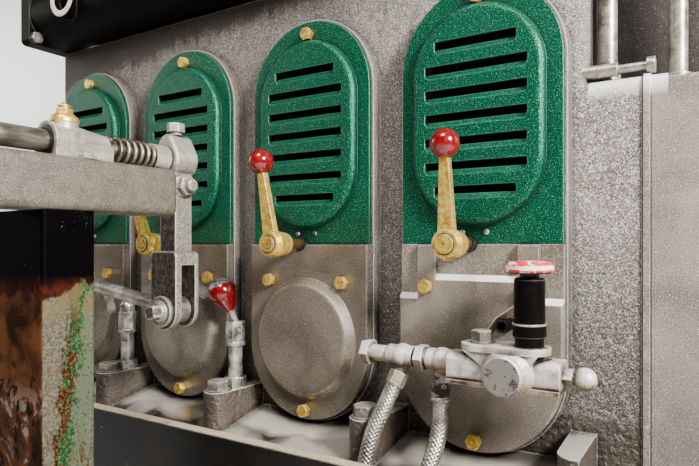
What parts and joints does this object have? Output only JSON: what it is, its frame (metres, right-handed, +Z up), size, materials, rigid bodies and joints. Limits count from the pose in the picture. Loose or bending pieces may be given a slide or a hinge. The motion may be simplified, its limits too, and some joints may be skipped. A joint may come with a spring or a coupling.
{
  "type": "marine diesel engine",
  "caption": "Inline marine diesel engine on bed rails, with louvred green doors, brass hand levers, a control shaft on a post and a hand priming pump.",
  "frame": {"origin": "on the floor under the middle of the cylinder block, in the upright plane through the cylinders", "axes": "+X along the crankshaft towards the timing case, -Y towards the hand levers, +Z up"},
  "size_m": [1.2175, 0.8356, 0.906],
  "materials": {
    "cast_grey": "sparkling grey paint over rough casting, oily brown stains",
    "green_paint": "emerald hammered metallic enamel",
    "door_grey": "dark grey paint over casting, oily",
    "brass": "worn satin brass",
    "red_knob": "glossy red",
    "red_knob_worn": "glossy red, scratched to grey",
    "bed_steel": "dark oily paint, worn bright on the edges",
    "head_grey": "grey paint over casting",
    "rocker_grey": "grey enamel",
    "manifold_black": "matt black heat-proof paint",
    "steel": "worn bright steel, oily",
    "dark_steel": "dark oily steel",
    "pale_alloy": "pale cast alloy, grimy in the corners",
    "black_barrel": "satin black",
    "pump_disc": "red enamel, worn to white on the rim",
    "braid": "braided steel wire",
    "lever_grey": "rough grey casting, oily",
    "bar_grey": "brushed grey bar",
    "post_paint": "cream and green paint worn to rust, black at the top",
    "gasket": "dark jointing sheet"
  },
  "bodies": {
    "engine": {"bed_cross_members": "bed_steel", "bed_rail_back": "bed_steel", "bed_rail_front": "bed_steel", "cock_knob": "red_knob_worn", "cocks": "dark_steel", "control_bar": "bar_grey", "control_post": "post_paint", "corner_tubes": "steel", "cylinder_heads": "head_grey", "end_stud": "steel", "engine_block": "cast_grey", "exhaust_manifold": "manifold_black", "flywheel_housing": "cast_grey", "fuel_hose_left": "braid", "fuel_hose_right": "braid", "grease_cup": "brass", "header_body": "pale_alloy", "header_outlet": "pale_alloy", "header_pipe": "pale_alloy", "hose_sockets": "steel", "lower_door_1": "door_grey", "lower_door_2": "door_grey", "lower_door_3": "door_grey", "lower_door_4": "door_grey", "output_flange": "steel", "pump_barrel": "black_barrel", "rear_lower_doors": "door_grey", "rear_upper_doors": "green_paint", "rocker_covers": "rocker_grey", "shaft_bearing": "lever_grey", "shaft_spring": "steel", "sump": "door_grey", "timing_case": "cast_grey", "timing_cover": "door_grey", "timing_gasket": "gasket", "timing_upper_case": "door_grey", "upper_door_1": "green_paint", "upper_door_2": "green_paint", "upper_door_3": "green_paint", "upper_door_4": "green_paint"},
    "control_lever": {"control_shaft": "steel", "control_lever": "lever_grey", "clevis_pin": "steel"},
    "control_rod": {"control_rod": "steel"},
    "governor_arm": {"governor_arm": "lever_grey"},
    "pump_plunger": {"pump_plunger": "pump_disc"},
    "hand_lever_1": {"hand_lever_1": "brass", "lever_knob_1": "red_knob"},
    "hand_lever_2": {"hand_lever_2": "brass", "lever_knob_2": "red_knob"},
    "hand_lever_3": {"hand_lever_3": "brass", "lever_knob_3": "red_knob"},
    "hand_lever_4": {"hand_lever_4": "brass", "lever_knob_4": "red_knob"}
  },
  "joints": [
    {"name": "hand_lever_1_turn", "type": "hinge", "parent": "engine", "child": "hand_lever_1", "pos_m": [-0.338, -0.2562, 0.43], "axis": [0, -1, 0], "range_deg": [-16, 29]},
    {"name": "hand_lever_2_turn", "type": "hinge", "parent": "engine", "child": "hand_lever_2", "pos_m": [-0.118, -0.2562, 0.43], "axis": [0, -1, 0], "range_deg": [-27, 18]},
    {"name": "hand_lever_3_turn", "type": "hinge", "parent": "engine", "child": "hand_lever_3", "pos_m": [0.102, -0.2562, 0.43], "axis": [0, -1, 0], "range_deg": [-17, 28]},
    {"name": "hand_lever_4_turn", "type": "hinge", "parent": "engine", "child": "hand_lever_4", "pos_m": [0.322, -0.2562, 0.43], "axis": [0, -1, 0], "range_deg": [-10, 35]},
    {"name": "control_shaft_turn", "type": "hinge", "parent": "engine", "child": "control_lever", "pos_m": [-0.021, -0.282, 0.53], "axis": [0, -1, 0], "range_deg": [-12, 12], "stiffness_Nm_per_rad": 3},
    {"name": "control_rod_pivot", "type": "hinge", "parent": "control_lever", "child": "control_rod", "pos_m": [-0.021, -0.2815, 0.351], "axis": [0, -1, 0], "range_deg": [-12, 12]},
    {"name": "governor_arm_turn", "type": "hinge", "parent": "engine", "child": "governor_arm", "pos_m": [-0.22, -0.265, 0.55965], "axis": [0, -1, 0], "range_deg": [-12, 12]},
    {"name": "pump_plunger_lift", "type": "slide", "parent": "engine", "child": "pump_plunger", "axis": [0, 0, 1], "range_m": [0, 0.03]}
  ],
  "couplings": [
    {"joint": "control_rod_pivot", "follows": "control_shaft_turn", "ratio": -1},
    {"joint": "governor_arm_turn", "follows": "control_shaft_turn", "ratio": 1}
  ]
}
